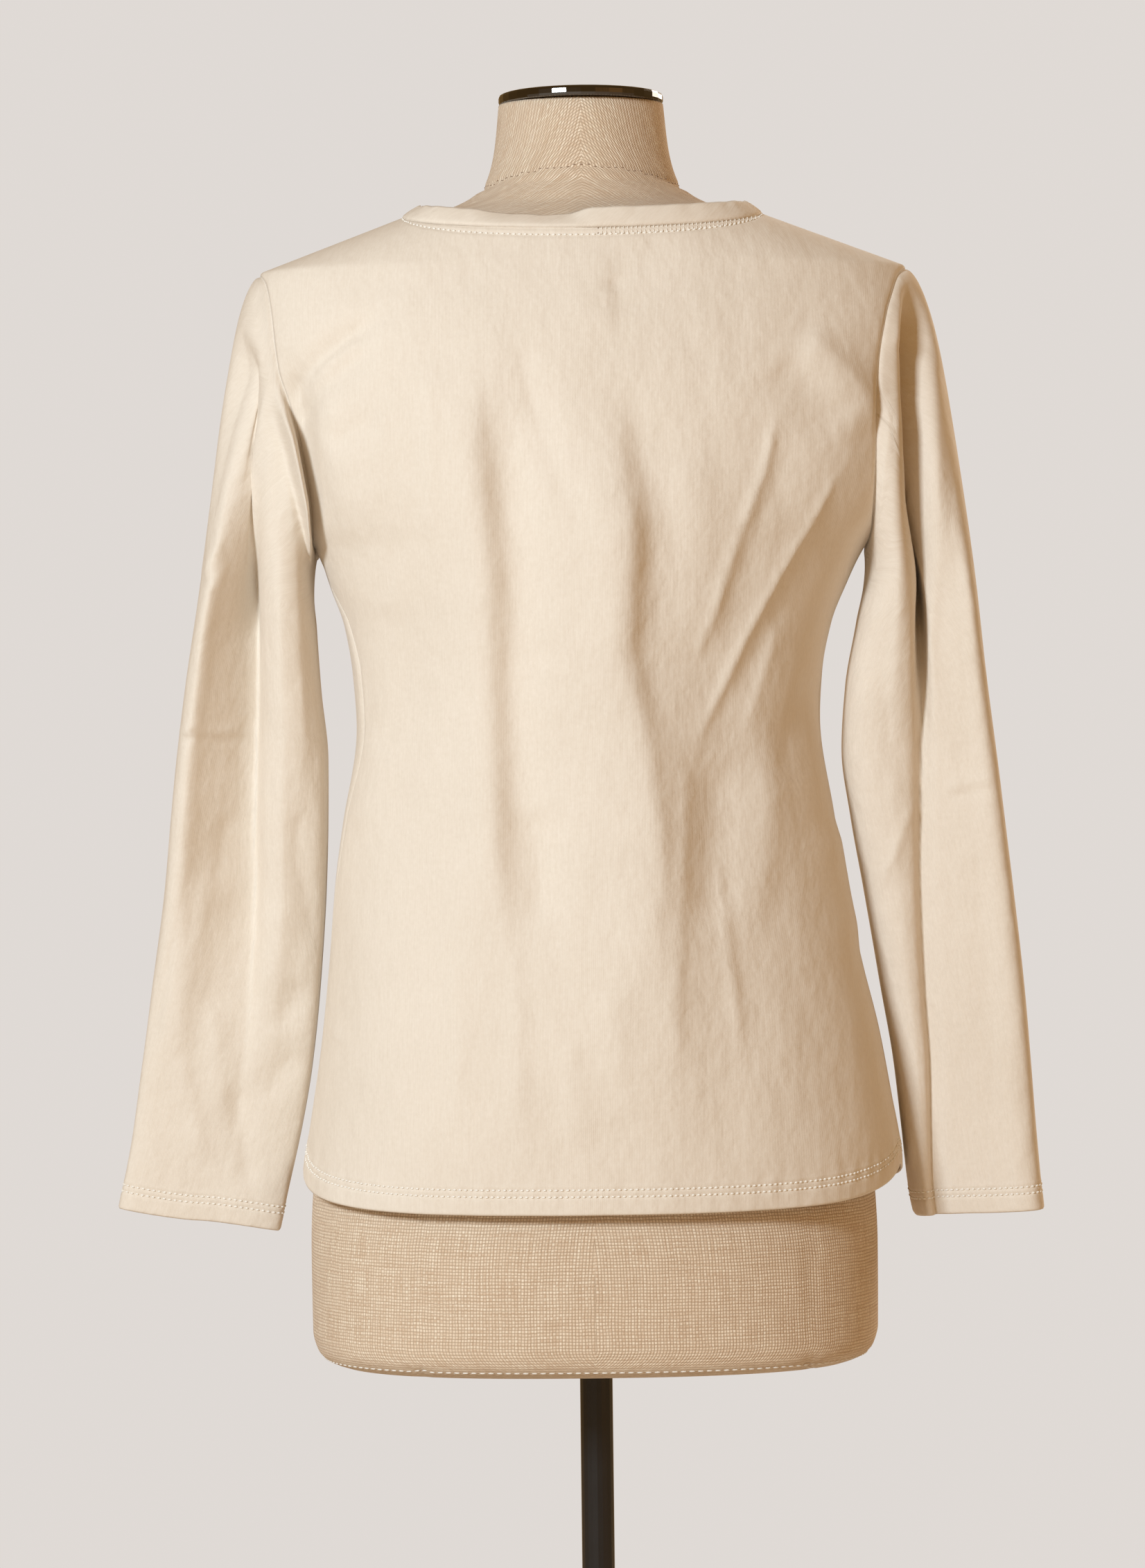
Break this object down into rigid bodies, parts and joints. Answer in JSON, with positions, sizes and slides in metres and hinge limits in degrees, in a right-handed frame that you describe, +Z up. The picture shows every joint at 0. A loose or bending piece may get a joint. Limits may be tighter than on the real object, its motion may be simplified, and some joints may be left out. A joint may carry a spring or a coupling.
{
  "type": "t-shirt on dress form",
  "caption": "Long-sleeved jersey t-shirt with a banded scooped neck, worn on a limbless linen-covered dress form that stands on a pole and a round base.",
  "frame": {"origin": "centre of the round base's underside, on the floor", "axes": "+Z up; the shirt's back faces +Y and its front faces -Y, so the wearer's left side is at +X"},
  "size_m": [0.5681, 0.34, 1.425],
  "materials": {
    "jersey": "matte beige cotton jersey, fine rib of knit stitches, slight sheen",
    "linen": "coarse natural linen canvas, plain weave with light and dark threads",
    "dark_steel": "polished dark chrome",
    "black_metal": "satin black"
  },
  "bodies": {
    "root": {"back_panel": "jersey", "front_panel": "jersey", "sleeve_left": "jersey", "sleeve_right": "jersey", "neckband": "jersey", "dress_form": "linen", "neck_cap": "dark_steel", "pole": "black_metal", "base": "black_metal"}
  },
  "joints": []
}
